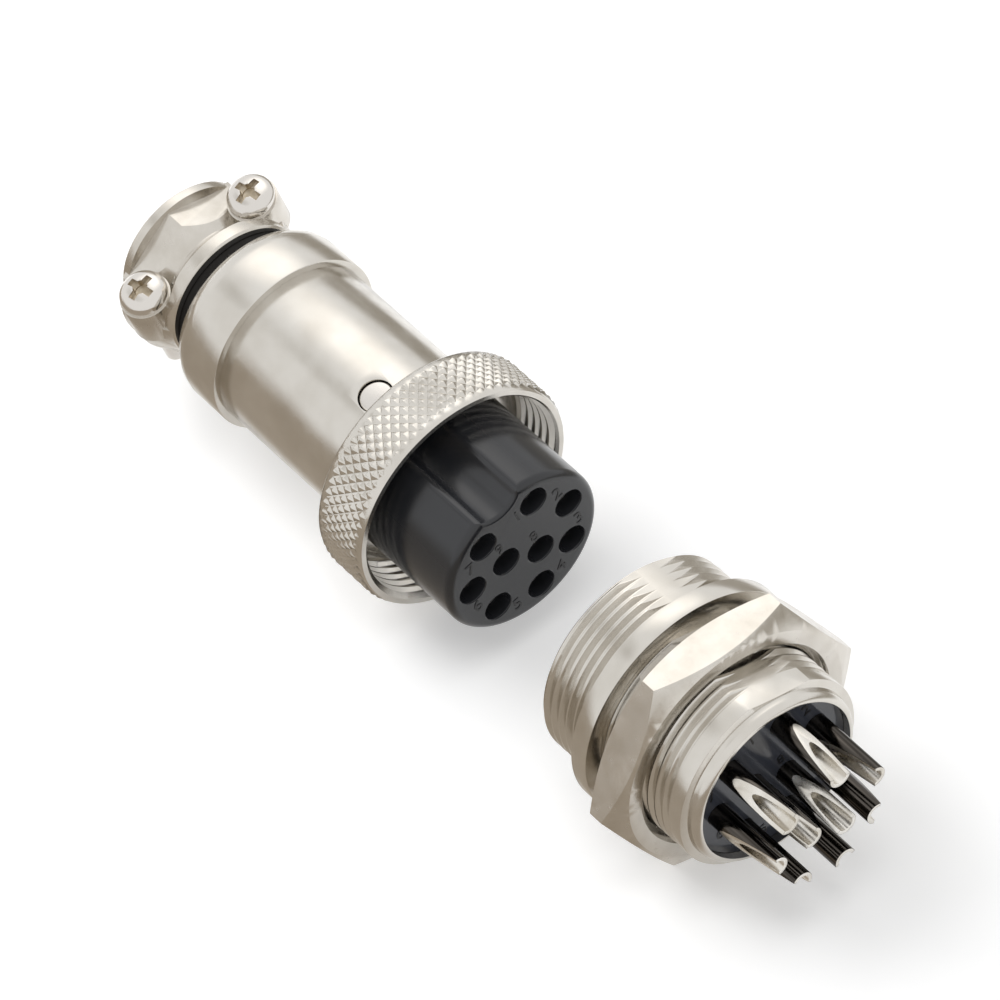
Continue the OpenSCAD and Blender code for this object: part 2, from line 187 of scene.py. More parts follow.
def card_round_axis(name, roll, spread, glow_colour, feather):
    """Card on the cone of directions that a turned face mirrors. Its middle stands at roll,
    from the line of sight towards the upper side, and spread is its angle."""
    roll = radians(roll)
    out = cos(roll) * toward_top + sin(roll) * toward_side
    across = cos(roll) * toward_side - sin(roll) * toward_top
    direction = sin(VIEW_TURN) * out - Vector((cos(VIEW_TURN), 0, 0))
    turn = Matrix((across, direction.cross(across), direction)).transposed().to_euler()
    width = 2 * CARD_DISTANCE * sin(VIEW_TURN) * tan(radians(spread) / 2)
    card(name, aim + CARD_DISTANCE * direction, turn, width, CARD_DEPTH, glow_colour, feather)


def seen_ray(nodes, links):
    """One for a ray from the eye, off metal or through glass, and nought for any other."""
    ray = nodes.new("ShaderNodeLightPath")
    seen = ray.outputs["Is Camera Ray"]
    for kind in ("Is Glossy Ray", "Is Transmission Ray"):
        either = nodes.new("ShaderNodeMath")
        either.operation = "MAXIMUM"
        links.new(seen, either.inputs[0])
        links.new(ray.outputs[kind], either.inputs[1])
        seen = either.outputs[0]
    return seen


def pale_world():
    """White to the eye and in reflections, a soft grey light for everything else."""
    world = bpy.data.worlds.new("studio")
    bpy.context.scene.world = world
    world.use_nodes = True
    nodes, links = world.node_tree.nodes, world.node_tree.links
    nodes.clear()
    soft = nodes.new("ShaderNodeBackground")
    soft.inputs["Color"].default_value = WORLD_LIGHT
    white = nodes.new("ShaderNodeBackground")
    white.inputs["Color"].default_value = WHITE
    blend = nodes.new("ShaderNodeMixShader")
    out = nodes.new("ShaderNodeOutputWorld")
    links.new(seen_ray(nodes, links), blend.inputs[0])
    links.new(soft.outputs[0], blend.inputs[1])
    links.new(white.outputs[0], blend.inputs[2])
    links.new(blend.outputs[0], out.inputs[0])


def pale_floor():
    """Plain pale table that keeps the connector's shadow and meets the white world."""
    bpy.ops.mesh.primitive_plane_add(
        size=TABLE_SIZE, location=(0, 0, cad_box[0].z - TABLE_DROP * MM))
    table = bpy.context.object
    table.name = "table"
    finish = bpy.data.materials.new("table")
    finish.use_nodes = True
    nodes, links = finish.node_tree.nodes, finish.node_tree.links
    nodes.clear()
    matt = nodes.new("ShaderNodeBsdfDiffuse")
    matt.inputs["Color"].default_value = TABLE_SHADE
    glow = nodes.new("ShaderNodeEmission")
    glow.inputs["Color"].default_value = WHITE
    lift = nodes.new("ShaderNodeMath")
    lift.operation = "MULTIPLY"
    lift.inputs[1].default_value = TABLE_LIFT
    both = nodes.new("ShaderNodeAddShader")
    out = nodes.new("ShaderNodeOutputMaterial")
    links.new(seen_ray(nodes, links), lift.inputs[0])
    links.new(lift.outputs[0], glow.inputs["Strength"])
    links.new(matt.outputs[0], both.inputs[0])
    links.new(glow.outputs[0], both.inputs[1])
    links.new(both.outputs[0], out.inputs[0])
    table.data.materials.append(finish)


make_camera()
bpy.context.scene.view_settings.view_transform = "Standard"
pale_world()
pale_floor()
for name, direction, distance, size, power in LAMPS:
    softbox(name, direction, distance, size, power)
for name, roll, spread, glow_colour, feather in CARDS:
    card_round_axis(name, roll, spread, glow_colour, feather)
for name, middle, depth, glow_colour, feather in SHEETS:
    card(name, (SHEET_X * MM, middle * MM, cad_box[0].z + SHEET_RISE * MM), (0, 0, 0),
         SHEET_LENGTH, depth, glow_colour, feather)


# ---------------------------------------------------------------- finishes

NOISE_LOW, NOISE_HIGH = 0.3, 0.7     # the range that a noise mostly keeps to


def new_finish(name, colour, roughness, metallic=0.0):
    finish = bpy.data.materials.new(name)
    finish.use_nodes = True
    shader = finish.node_tree.nodes["Principled BSDF"]
    shader.inputs["Base Color"].default_value = (*colour, 1)
    shader.inputs["Roughness"].default_value = roughness
    shader.inputs["Metallic"].default_value = metallic
    return finish, shader


def noise_on(finish, scale, detail, stretch=(1, 1, 1)):
    """Noise over Object coordinates; scale counts its waves in a metre."""
    nodes, links = finish.node_tree.nodes, finish.node_tree.links
    place = nodes.new("ShaderNodeTexCoord")
    fit = nodes.new("ShaderNodeMapping")
    fit.inputs["Scale"].default_value = stretch
    noise = nodes.new("ShaderNodeTexNoise")
    noise.inputs["Scale"].default_value = scale
    noise.inputs["Detail"].default_value = detail
    links.new(place.outputs["Object"], fit.inputs["Vector"])
    links.new(fit.outputs["Vector"], noise.inputs["Vector"])
    return noise


def between(finish, source, low, high, target):
    """Carries a noise's value into the range from low to high."""
    nodes, links = finish.node_tree.nodes, finish.node_tree.links
    spread = nodes.new("ShaderNodeMapRange")
    spread.inputs["From Min"].default_value = NOISE_LOW
    spread.inputs["From Max"].default_value = NOISE_HIGH
    spread.inputs["To Min"].default_value = low
    spread.inputs["To Max"].default_value = high
    links.new(source.outputs[0], spread.inputs["Value"])
    links.new(spread.outputs["Result"], target)


def shades(finish, source, dark, light, target):
    """Carries a noise's value into a colour between dark and light."""
    nodes, links = finish.node_tree.nodes, finish.node_tree.links
    ramp = nodes.new("ShaderNodeValToRGB")
    first, last = ramp.color_ramp.elements
    first.position, first.color = NOISE_LOW, (*dark, 1)
    last.position, last.color = NOISE_HIGH, (*light, 1)
    links.new(source.outputs[0], ramp.inputs["Fac"])
    links.new(ramp.outputs["Color"], target)


def relief(finish, shader, source, height, strength):
    """Raises the surface by a noise."""
    nodes, links = finish.node_tree.nodes, finish.node_tree.links
    bump = nodes.new("ShaderNodeBump")
    bump.inputs["Distance"].default_value = height * MM
    bump.inputs["Strength"].default_value = strength
    links.new(source.outputs[0], bump.inputs["Height"])
    links.new(bump.outputs["Normal"], shader.inputs["Normal"])


def turned_nickel():
    """Bright nickel over turned brass, with faint tool marks round the axis."""
    finish, shader = new_finish("turned_nickel", (0.66, 0.635, 0.59), 0.2, 1.0)
    cloud = noise_on(finish, 260, 2)
    shades(finish, cloud, (0.61, 0.58, 0.53), (0.69, 0.665, 0.62), shader.inputs["Base Color"])
    between(finish, noise_on(finish, 700, 4), 0.15, 0.25, shader.inputs["Roughness"])
    marks = noise_on(finish, 1.0, 2, stretch=(9000, 40, 40))
    relief(finish, shader, marks, 0.004, 0.25)
    return finish


def cast_nickel():
    """Nickel over a cast or pressed face, a little softer than a turned one."""
    finish, shader = new_finish("cast_nickel", (0.64, 0.61, 0.56), 0.24, 1.0)
    shades(finish, noise_on(finish, 330, 3), (0.58, 0.545, 0.49), (0.69, 0.66, 0.61),
           shader.inputs["Base Color"])
    between(finish, noise_on(finish, 900, 4), 0.18, 0.28, shader.inputs["Roughness"])
    relief(finish, shader, noise_on(finish, 1500, 3), 0.012, 0.25)
    return finish


def bright_screw():
    """Plated steel of the screws, a little dented."""
    finish, shader = new_finish("bright_screw", (0.70, 0.67, 0.63), 0.12, 1.0)
    between(finish, noise_on(finish, 1200, 3), 0.1, 0.18, shader.inputs["Roughness"])
    relief(finish, shader, noise_on(finish, 1400, 3), 0.02, 0.4)
    return finish


def recess_brass():
    """Painted shade in the cross recess of a screw: a darker, browner metal than the head."""
    finish, shader = new_finish("recess_brass", (0.50, 0.43, 0.32), 0.35, 1.0)
    shades(finish, noise_on(finish, 1600, 3), (0.36, 0.30, 0.22), (0.58, 0.51, 0.40),
           shader.inputs["Base Color"])
    return finish


def silver_contact():
    """Silver plate of the contacts and of the scoops of their solder cups."""
    finish, shader = new_finish("silver_contact", (0.78, 0.75, 0.70), 0.3, 1.0)
    shades(finish, noise_on(finish, 420, 3), (0.62, 0.58, 0.51), (0.84, 0.82, 0.78),
           shader.inputs["Base Color"])
    between(finish, noise_on(finish, 1500, 3), 0.22, 0.36, shader.inputs["Roughness"])
    relief(finish, shader, noise_on(finish, 3000, 3), 0.01, 0.3)
    return finish


def dark_contact():
    """Painted reflection on the cups' polished outsides: the dark insert they mirror, painted into
    a dark colour, with lighter painted glints in streaks along them.
    """
    finish, shader = new_finish("dark_contact", (0.075, 0.068, 0.06), 0.12, 1.0)
    painted_glint_streaks = noise_on(finish, 1.0, 3, stretch=(60, 2600, 2600))
    shades(finish, painted_glint_streaks, (0.02, 0.018, 0.016), (0.14, 0.125, 0.11),
           shader.inputs["Base Color"])
    between(finish, noise_on(finish, 1500, 3), 0.08, 0.18, shader.inputs["Roughness"])
    return finish


def moulded_black():
    """Glossy black thermoset of the plug's insert."""
    finish, shader = new_finish("moulded_black", (0.02, 0.021, 0.024), 0.2)
    shader.inputs["IOR"].default_value = 1.52
    between(finish, noise_on(finish, 500, 3), 0.16, 0.24, shader.inputs["Roughness"])
    relief(finish, shader, noise_on(finish, 900, 2), 0.006, 0.15)
    return finish


def slate_black():
    """Polished thermoset of the socket's insert, with a bluish sheen."""
    finish, shader = new_finish("slate_black", (0.05, 0.055, 0.07), 0.12)
    shader.inputs["IOR"].default_value = 1.6
    between(finish, noise_on(finish, 300, 2), 0.08, 0.16, shader.inputs["Roughness"])
    return finish


def soft_black():
    """Dull black rubber of the sleeve."""
    finish, shader = new_finish("soft_black", (0.006, 0.005, 0.004), 0.6)
    shader.inputs["IOR"].default_value = 1.3
    between(finish, noise_on(finish, 900, 3), 0.5, 0.7, shader.inputs["Roughness"])
    return finish


def number_ink():
    """The raised numbers, a little glossier than what they stand on."""
    finish, shader = new_finish("number_ink", (0.008, 0.008, 0.009), 0.35)
    between(finish, noise_on(finish, 2500, 2), 0.3, 0.42, shader.inputs["Roughness"])
    return finish


nickel = turned_nickel()
casting = cast_nickel()
screw_plate = bright_screw()
silver = silver_contact()
painted_dark_sides = dark_contact()
recess_shade = recess_brass()
plastic = moulded_black()
slate = slate_black()
rubber = soft_black()
ink = number_ink()


# ---------------------------------------------------------------- shop tools

THREAD_PITCH = 1.0
THREAD_DEPTH = 0.5
THREAD_STEPS = 72                # sections in one turn of a thread
OUTER_GROOVE = (0.14, 0.98)      # width of an outer thread's groove at its root and its mouth
INNER_GROOVE = (0.15, 0.92)
EASE_LIFT = 1.2                  # how far a coil is drawn out, in depths of its groove
PLUNGE_HIGH = 9.4                # top of the cutters for the keyway's shoulders
FLAT_ANGLE = radians(0.6)        # CAD faces that turn by less than this are one
UPRIGHT = (0, -QUARTER, 0)       # from along the axis to standing out from it


def object_mode():
    if bpy.context.object and bpy.context.object.mode != "OBJECT":
        bpy.ops.object.mode_set(mode="OBJECT")


def clear_selection():
    object_mode()
    bpy.ops.object.select_all(action="DESELECT")


def take(piece):
    """Makes piece the only one in hand."""
    clear_selection()
    piece.select_set(True)
    bpy.context.view_layer.objects.active = piece


def take_mesh(piece):
    """Opens the piece in edit mode with all of its mesh in hand."""
    take(piece)
    bpy.ops.object.mode_set(mode="EDIT")
    bpy.ops.mesh.select_all(action="SELECT")


def settle(piece):
    """Puts the piece's place and turn into its mesh."""
    take(piece)
    bpy.ops.object.transform_apply(location=True, rotation=True, scale=True)


def put(piece, x, y, z, turn=(0, 0, 0)):
    """Turns a piece that lies at the origin, and sets it at a place."""
    piece.rotation_euler = turn
    piece.location = (x * MM, y * MM, z * MM)
    settle(piece)


def roll_about_axis(piece, roll):
    piece.rotation_euler = (roll, 0, 0)
    settle(piece)


def put_by_key(piece, x, y, z, turn=(0, 0, 0)):
    """Sets a piece at a place that is given with the key on top, then rolls it to the key."""
    put(piece, x, y, z, turn)
    roll_about_axis(piece, KEY_ROLL)


def copy_of(name, mesh):
    piece = bpy.data.objects.new(name, mesh.copy())
    bpy.context.scene.collection.objects.link(piece)
    return piece


def off_axis(place):
    return (place.y ** 2 + place.z ** 2) ** 0.5


def pick_numbers(piece, numbers):
    """Selects vertices by their numbers, and opens edit mode."""
    take(piece)
    bpy.ops.object.mode_set(mode="EDIT")
    bpy.ops.mesh.select_mode(type="VERT")
    bpy.ops.mesh.select_all(action="DESELECT")
    bpy.ops.object.mode_set(mode="OBJECT")
    for number in numbers:
        piece.data.vertices[number].select = True
    bpy.ops.object.mode_set(mode="EDIT")


def pick(piece, test):
    """Selects the vertices that pass a test on their place, and opens edit mode."""
    take(piece)
    pick_numbers(piece, [v.index for v in piece.data.vertices if test(v.co / MM)])


def turned(name, profile, segments=128, ring=True):
    """Piece turned about the axis, drawn out from one station (x, radius) to the next.
    A ring closes on its first station; a solid gets a flat face at both ends."""
    clear_selection()
    x, r = profile[0]
    bpy.ops.mesh.primitive_circle_add(
        vertices=segments, radius=r * MM, location=(x * MM, 0, 0), rotation=(0, QUARTER, 0))
    piece = bpy.context.object
    piece.name = name
    piece.data.name = name
    settle(piece)
    take_mesh(piece)
    for next_x, next_r in profile[1:] + (profile[:1] if ring else []):
        bpy.ops.mesh.extrude_edges_move(
            TRANSFORM_OT_translate={"value": ((next_x - x) * MM, 0, 0)})
        bpy.ops.transform.resize(value=(1, next_r / r, next_r / r), center_override=(0, 0, 0))
        x, r = next_x, next_r
    bpy.ops.mesh.select_all(action="SELECT")
    bpy.ops.mesh.remove_doubles(threshold=MERGE)
    if not ring:
        bpy.ops.mesh.fill_holes(sides=0)
    bpy.ops.mesh.normals_make_consistent(inside=False)
    object_mode()
    return piece


def round_bar(x0, x1, r, segments):
    clear_selection()
    bpy.ops.mesh.primitive_cylinder_add(
        vertices=segments, radius=r * MM, depth=(x1 - x0) * MM,
        location=((x0 + x1) / 2 * MM, 0, 0), rotation=(0, QUARTER, 0))
    piece = bpy.context.object
    settle(piece)
    return piece


def block(low, high, roll=0.0):
    """Box between two corners, then rolled about the axis."""
    clear_selection()
    middle = [(a + b) / 2 * MM for a, b in zip(low, high)]
    size = [(b - a) * MM for a, b in zip(low, high)]
    bpy.ops.mesh.primitive_cube_add(size=1, location=middle, scale=size)
    piece = bpy.context.object
    settle(piece)
    roll_about_axis(piece, roll)
    return piece


def sloped_cutter(x0, x1, low, half_low, slope):
    """Cutter along the axis that widens from its bottom upwards, with sides at a slope."""
    half_high = half_low + (PLUNGE_HIGH - low) / tan(slope)
    cutter = block((x0, -half_high, low), (x1, half_high, PLUNGE_HIGH))
    pick(cutter, lambda co: co.z < (low + PLUNGE_HIGH) / 2)
    bpy.ops.transform.resize(value=(1, half_low / half_high, 1), center_override=(0, 0, 0))
    object_mode()
    return cutter


def join(tools):
    clear_selection()
    for tool in tools:
        tool.select_set(True)
    bpy.context.view_layer.objects.active = tools[0]
    bpy.ops.object.join()
    return tools[0]


def machine(piece, tool, way="DIFFERENCE"):
    """Cuts the tool from the piece, or keeps or adds what way says, and puts the tool away."""
    take(piece)
    bpy.ops.object.modifier_add(type="BOOLEAN")
    cut = piece.modifiers[-1]
    cut.operation = way
    cut.solver = "EXACT"
    cut.object = tool
    bpy.ops.object.modifier_apply(modifier=cut.name)
    bpy.data.objects.remove(tool)


def break_edges(piece, width, segments, angle):
    """Rounds every edge that turns by more than the angle."""
    take(piece)
    bpy.ops.object.modifier_add(type="BEVEL")
    bevel = piece.modifiers[-1]
    bevel.width = width * MM
    bevel.segments = segments
    bevel.limit_method = "ANGLE"
    bevel.angle_limit = radians(angle)
    bevel.use_clamp_overlap = True
    bevel.harden_normals = False
    bpy.ops.object.modifier_apply(modifier=bevel.name)


def finish_piece(piece, material, slot, body, *nodes, angle=35):
    """Clears slivers and smooths the piece, gives it its finish unless its faces have theirs
    already, and puts it in the place of its CAD nodes."""
    take_mesh(piece)
    bpy.ops.mesh.remove_doubles(threshold=SLIVER)
    bpy.ops.mesh.dissolve_degenerate(threshold=SLIVER)
    object_mode()
    bpy.ops.object.shade_smooth_by_angle(angle=radians(angle))
    if material:
        piece.data.materials.clear()
        piece.data.materials.append(material)
    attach(piece, body)
    if nodes:
        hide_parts(*nodes)


def span(node):
    """Ends of a CAD node along the axis."""
    low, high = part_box(node)
    return low.x / MM, high.x / MM


def radius_of(node):
    """Largest radius of a round CAD node."""
    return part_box(node)[1].y / MM


def thread_tool(start, turns, root, mouth, widths, ease_in=0, ease_out=0):
    """Coil that cuts a thread's groove from its root radius to its mouth radius. It is drawn
    out of the metal over its first and last sections."""
    clear_selection()
    middle = (root + mouth) / 2
    height = mouth - root
    bpy.ops.mesh.primitive_plane_add(
        size=1, location=(start * MM, 0, middle * MM), rotation=(QUARTER, 0, 0))
    coil = bpy.context.object
    coil.scale = (widths[0] * MM, abs(height) * MM, 1)
    settle(coil)
    pick(coil, lambda co: (co.z - middle) * height > 0)
    bpy.ops.transform.resize(value=(widths[1] / widths[0], 1, 1),
                             center_override=(start * MM, 0, mouth * MM))
    object_mode()
    bpy.ops.object.modifier_add(type="SCREW")
    screw = coil.modifiers[-1]
    screw.axis = "X"
    screw.angle = 2 * pi
    screw.screw_offset = THREAD_PITCH * MM
    screw.iterations = turns
    screw.steps = THREAD_STEPS
    screw.render_steps = THREAD_STEPS
    bpy.ops.object.modifier_apply(modifier=screw.name)
    sections = len(coil.data.vertices) // 4
    lift = EASE_LIFT * height / middle
    for number, first in [(ease_in, True), (ease_out, False)]:
        for k in range(number):
            row = (number - 1 - k) if first else (sections - number + k)
            ease = 1 + lift * (k + 1) / number
            pick_numbers(coil, range(4 * row, 4 * row + 4))
            bpy.ops.transform.resize(value=(1, ease, ease), center_override=(0, 0, 0))
    take_mesh(coil)
    bpy.ops.mesh.fill_holes(sides=4)
    bpy.ops.mesh.normals_make_consistent(inside=False)
    object_mode()
    return coil


def cad_copy(name, node):
    """A merged copy of a CAD node with its flat faces made whole."""
    clear_selection()
    piece = copy_of(name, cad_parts[node].data)
    take_mesh(piece)
    bpy.ops.mesh.remove_doubles(threshold=MERGE)
    bpy.ops.mesh.dissolve_limited(angle_limit=FLAT_ANGLE)
    object_mode()
    return piece


# ---------------------------------------------------------------- coupling ring

BARREL_R = radius_of("tail_ring") - 0.725
KNURLS = 66                      # diamonds round the ring
KNURL_ROWS = 9
KNURL_DEPTH = 0.3
PEAK_WIDTH = 0.2                 # of the worn tops of the diamonds
HAIR, NEAR = 0.02, 0.05          # how close a vertex has to be to a radius and to a row


def coupling_ring():
    rear, front = span("coupling_ring")
    outer = radius_of("coupling_ring")
    groove = outer - KNURL_DEPTH
    bore, web, rear_edge = BARREL_R + 0.05, 1.28, 0.7
    cavity, mouth, mouth_depth, front_edge = 10.675, 11.175, 0.6, 0.42
    thread_run, thread_root, thread_mouth = 5.2, 11.15, 10.6
    knurl_rear, knurl_front = rear + 0.4, front - 0.15
    step = (knurl_front - knurl_rear) / KNURL_ROWS
    rows = [knurl_rear + step * k for k in range(KNURL_ROWS + 1)]
    ring = turned("coupling_ring_knurled", (
        [(rear, bore), (rear, outer - rear_edge)] + [(x, groove) for x in rows] +
        [(front, outer - front_edge), (front, mouth), (front - mouth_depth, cavity),
         (rear + web, cavity), (rear + web, bore)]), segments=2 * KNURLS)
    machine(ring, thread_tool(front - thread_run, 6, thread_root, thread_mouth, INNER_GROOVE))
    sector = pi / KNURLS

    def peak(co):
        row = round((co.x - knurl_rear) / step)
        column = round(Vector((co.y, co.z)).angle_signed(Vector((1, 0))) / sector)
        return (abs(off_axis(co) - groove) < HAIR and 0 < row < KNURL_ROWS
                and abs(co.x - rows[row]) < NEAR and (row + column) % 2 == 0)

    pick(ring, peak)
    grow = outer / groove
    bpy.ops.transform.resize(value=(1, grow, grow), center_override=(0, 0, 0))
    object_mode()
    pick(ring, lambda co: off_axis(co) > groove - HAIR
         and knurl_rear - NEAR < co.x < knurl_front + NEAR)
    bpy.ops.mesh.select_mode(type="FACE")
    bpy.ops.mesh.quads_convert_to_tris(quad_method="SHORTEST_DIAGONAL")
    object_mode()
    pick(ring, lambda co: off_axis(co) > outer - NEAR)
    bpy.ops.mesh.bevel(offset=PEAK_WIDTH * MM, affect="VERTICES", segments=2)
    object_mode()
    finish_piece(ring, nickel, "nickel_plate", "coupling_ring", "coupling_ring", angle=48)


# ---------------------------------------------------------------- panel socket

PANEL_R = 10.0                   # crest of the panel thread, which the nut runs on
FLAT_HALF, FLAT_TOP = 9, 14      # half width and top of the cutters for the milled flats
PAST = 1                         # how far a cutter reaches past an end


def socket_shell():
    front, rear = span("socket_shell")
    flange_r, flange_t = radius_of("socket_shell"), 2.0
    coupling_r, coupling_flat, panel_flat = 10.6, 0.55, 0.62
    bore, rear_bore, step, lead = 8.75, 8.5, 5.8, 0.15
    chamfer, neck_depth, neck_w = 0.6, 0.85, 0.6
    rim, rim_r, round_r, end_lead = 1.3, PANEL_R - 0.85, 0.75, 0.05
    rim_step, rim_gap = 0.12, 0.02
    key_half, key_low, key_end, key_root = 1.6, 7.55, 4.6, 0.2
    mouth, run_in, thread_start = 0.1, 0.9, 0.3
    rounding = [(rear - round_r + round_r * cos(a), rim_r - round_r + round_r * sin(a) + rim_gap)
                for a in [radians(d) for d in range(90, -1, -15)]]
    shell = turned("socket_shell_threaded", [
        (front, bore + lead), (front, coupling_r - chamfer), (front + chamfer, coupling_r),
        (-flange_t - neck_w - lead, coupling_r), (-flange_t - neck_w, coupling_r - neck_depth),
        (-flange_t, coupling_r - neck_depth), (-flange_t, flange_r), (0, flange_r),
        (0, PANEL_R), (rear - rim, PANEL_R), (rear - rim + rim_step, rim_r + end_lead)]
        + rounding + [(rear - end_lead, rear_bore), (step, rear_bore), (step, bore),
                      (front + lead, bore)], segments=160)
    break_edges(shell, 0.12, 2, 40)
    machine(shell, thread_tool(front - run_in, 7, coupling_r - THREAD_DEPTH,
                               coupling_r + mouth, OUTER_GROOVE))
    machine(shell, thread_tool(thread_start, 9, PANEL_R - THREAD_DEPTH, PANEL_R + mouth,
                               OUTER_GROOVE, ease_in=24, ease_out=28))
    machine(shell, block((front - PAST, -FLAT_HALF, coupling_r - coupling_flat),
                         (-flange_t, FLAT_HALF, FLAT_TOP), FLAT_ROLL))
    machine(shell, block((0, -FLAT_HALF, PANEL_R - panel_flat),
                         (rear + PAST, FLAT_HALF, FLAT_TOP), FLAT_ROLL))
    machine(shell, block((front + PAST, -key_half, key_low),
                         (key_end, key_half, bore + key_root), KEY_ROLL), "UNION")
    finish_piece(shell, nickel, "nickel_plate", "socket", "socket_shell", angle=28)


def hex_nut():
    """A turned blank with both faces chamfered, kept inside a hexagon with flats on top."""
    front, rear = span("hex_nut")
    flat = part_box("hex_nut")[1].z / MM
    corner = flat / cos(radians(30))
    face, blank, bore, sink = flat - 0.3, corner + 0.25, PANEL_R + 0.05, 0.75
    thread_root, thread_mouth = 10.6, 9.98
    chamfer = (blank - face) * tan(radians(30))
    nut = turned("hex_nut_pressed", [
        (front + sink, bore), (front, bore + sink), (front, face), (front + chamfer, blank),
        (rear - chamfer, blank), (rear, face), (rear, bore + sink), (rear - sink, bore)],
        segments=160)
    machine(nut, round_bar(front - PAST, rear + PAST, corner, 6), "INTERSECT")
    machine(nut, thread_tool(front - PAST, 6, thread_root, thread_mouth, INNER_GROOVE))
    break_edges(nut, 0.14, 2, 24)
    finish_piece(nut, casting, "nickel_plate", "hex_nut", "hex_nut", angle=24)


# ---------------------------------------------------------------- barrel, tail ring, sleeve

INSERT_SCREW_X = -41.2


def barrel():
    rear, front = span("barrel")
    tail_front = span("tail_ring")[1]
    lip, lip_t, thread, edge = 9.6, 1.0, 8.1, 0.25
    chamber, spigot, spigot_end = 7.4, 7.85, -46.5
    hole, hole_low, hole_deep, margin = 1.72, 7, 4, 2.4
    tube = turned("barrel_turned", [
        (rear, chamber), (rear, thread - edge), (rear + edge, thread), (tail_front, thread),
        (tail_front, BARREL_R), (INSERT_SCREW_X - margin, BARREL_R),
        (INSERT_SCREW_X + margin, BARREL_R), (front - lip_t, BARREL_R), (front - lip_t, lip),
        (front, lip), (front, spigot), (spigot_end, spigot), (spigot_end, chamber)])
    drill = round_bar(0, hole_deep, hole, 40)
    put_by_key(drill, INSERT_SCREW_X, 0, hole_low, UPRIGHT)
    machine(tube, drill)
    break_edges(tube, 0.1, 2, 40)
    finish_piece(tube, nickel, "nickel_plate", "plug", "barrel")


def tail_ring():
    rear, front = span("tail_ring")
    outer = radius_of("tail_ring")
    hole, thread, wall = 7.1, 8.15, 1.75
    slope = [(0, hole + 0.2), (0.35, outer - 1.7), (1, outer - 0.8), (2, outer - 0.2),
             (2.9, outer)]
    ring = turned("tail_ring_turned", [(rear, hole)] + [(rear + x, r) for x, r in slope] + [
        (front, outer), (front, thread), (rear + wall, thread), (rear + wall, hole)])
    break_edges(ring, 0.12, 2, 40)
    finish_piece(ring, nickel, "nickel_plate", "plug", "tail_ring")


def cable_sleeve():
    rear, front = span("cable_sleeve")
    seat, hole, front_bore, step = -62.6, 6.02, 6.95, 1.1
    flange, flange_t, neck, head = 7.2, 0.5, 7.05, 8.1
    sleeve = turned("cable_sleeve_moulded", [
        (rear, hole), (rear, flange), (rear + flange_t, flange), (rear + flange_t, neck),
        (seat, neck), (seat, head), (front, head), (front, front_bore),
        (front - step, front_bore), (front - step, hole)])
    break_edges(sleeve, 0.12, 2, 40)
    finish_piece(sleeve, rubber, "black_rubber", "plug", "cable_sleeve")


# ---------------------------------------------------------------- cable clamp and screws

CLAMP_SCREW_X = -69.35
CLAMP_SCREW_Y = 6.7
SEAT_H = 4.3                     # of the screws' seats over the axis, towards the key


def cable_clamp():
    body = cad_copy("clamp_body_cast", "clamp_body")
    break_edges(body, 0.22, 3, 25)
    finish_piece(body, casting, "nickel_plate", "plug", "clamp_body", angle=30)
    saddle = cad_copy("clamp_saddle_cast", "clamp_saddle")
    break_edges(saddle, 0.2, 3, 25)
    finish_piece(saddle, casting, "nickel_plate", "clamp_saddle", "clamp_saddle", angle=30)


def clamp_screws():
    """Pan heads with a cross recess, modelled once and set in both bosses."""
    head, rise, shank, tip, point = 2.3, 1.6, 1.15, -10.0, 0.2
    arm_low, arm_reach, arm_half, arm_turns = 0.8, 1.35, 0.36, (10, 100)
    pit_low, pit_r, tool_top = 0.65, 0.72, 2.5
    recess_low, recess_r, skin = 0.6, 1.45, 0.12
    brim, bow = 0.35, 0.1
    dome = [(rise * (brim + (1 - brim) * sin(a)), head * cos(a) ** 0.8)
            for a in [radians(d) for d in range(0, 85, 7)]]
    screw = turned("clamp_screw_turned", [(tip, shank - point), (tip + point, shank),
                                          (0, shank), (0, head)] + dome,
                   segments=64, ring=False)
    for turn in arm_turns:
        machine(screw, block((arm_low, -arm_reach, -arm_half), (tool_top, arm_reach, arm_half),
                             radians(turn)))
    machine(screw, round_bar(pit_low, tool_top, pit_r, 24))
    break_edges(screw, 0.1, 3, 35)
    screw.data.materials.append(screw_plate)
    screw.data.materials.append(recess_shade)
    # Faces inside the cross recess get the painted shade, a darker and browner metal than the
    # head.
    for face in screw.data.polygons:
        middle = face.center / MM
        out = off_axis(middle)
        under_dome = middle.x < rise * (1 - bow * out ** 2) - skin
        if middle.x > recess_low and out < recess_r and under_dome:
            face.material_index = 1
    for number, side in ((1, -1), (2, 1)):
        copy = copy_of(f"clamp_screw_{number}_pan", screw.data)
        put_by_key(copy, CLAMP_SCREW_X, side * CLAMP_SCREW_Y, SEAT_H, UPRIGHT)
        finish_piece(copy, None, "screw_plate", "plug", f"clamp_screw_{number}", angle=40)
    bpy.data.objects.remove(screw)


def insert_screw():
    """Small screw that holds the insert, sunk in the barrel just behind the ring."""
    tip, seat, edge, top = 5.2, 7.2, 8.25, 8.4
    shank, head, chamfer = 0.8, 1.6, 0.15
    screw = turned("insert_screw_turned", [
        (tip, shank), (seat, shank), (seat, head), (edge, head), (top, head - chamfer)],
        segments=48, ring=False)
    break_edges(screw, 0.06, 2, 35)
    put_by_key(screw, INSERT_SCREW_X, 0, 0, UPRIGHT)
    finish_piece(screw, screw_plate, "screw_plate", "plug", "insert_screw", angle=40)


# ---------------------------------------------------------------- contacts

# Places of the contacts, one to nine: radius, and angle from the key in degrees. One to
# seven go round a circle, evenly past the key, and eight and nine stand inside it.
CIRCLE_R = 5.95
KEY_SPACE = 62
OUTER_STEP = (360 - KEY_SPACE) / 6
OUTER_ANGLES = [KEY_SPACE / 2 + OUTER_STEP * k for k in range(7)]
CONTACTS = [(CIRCLE_R, angle) for angle in OUTER_ANGLES] + [(2.17, 135), (2.0, -68.5)]
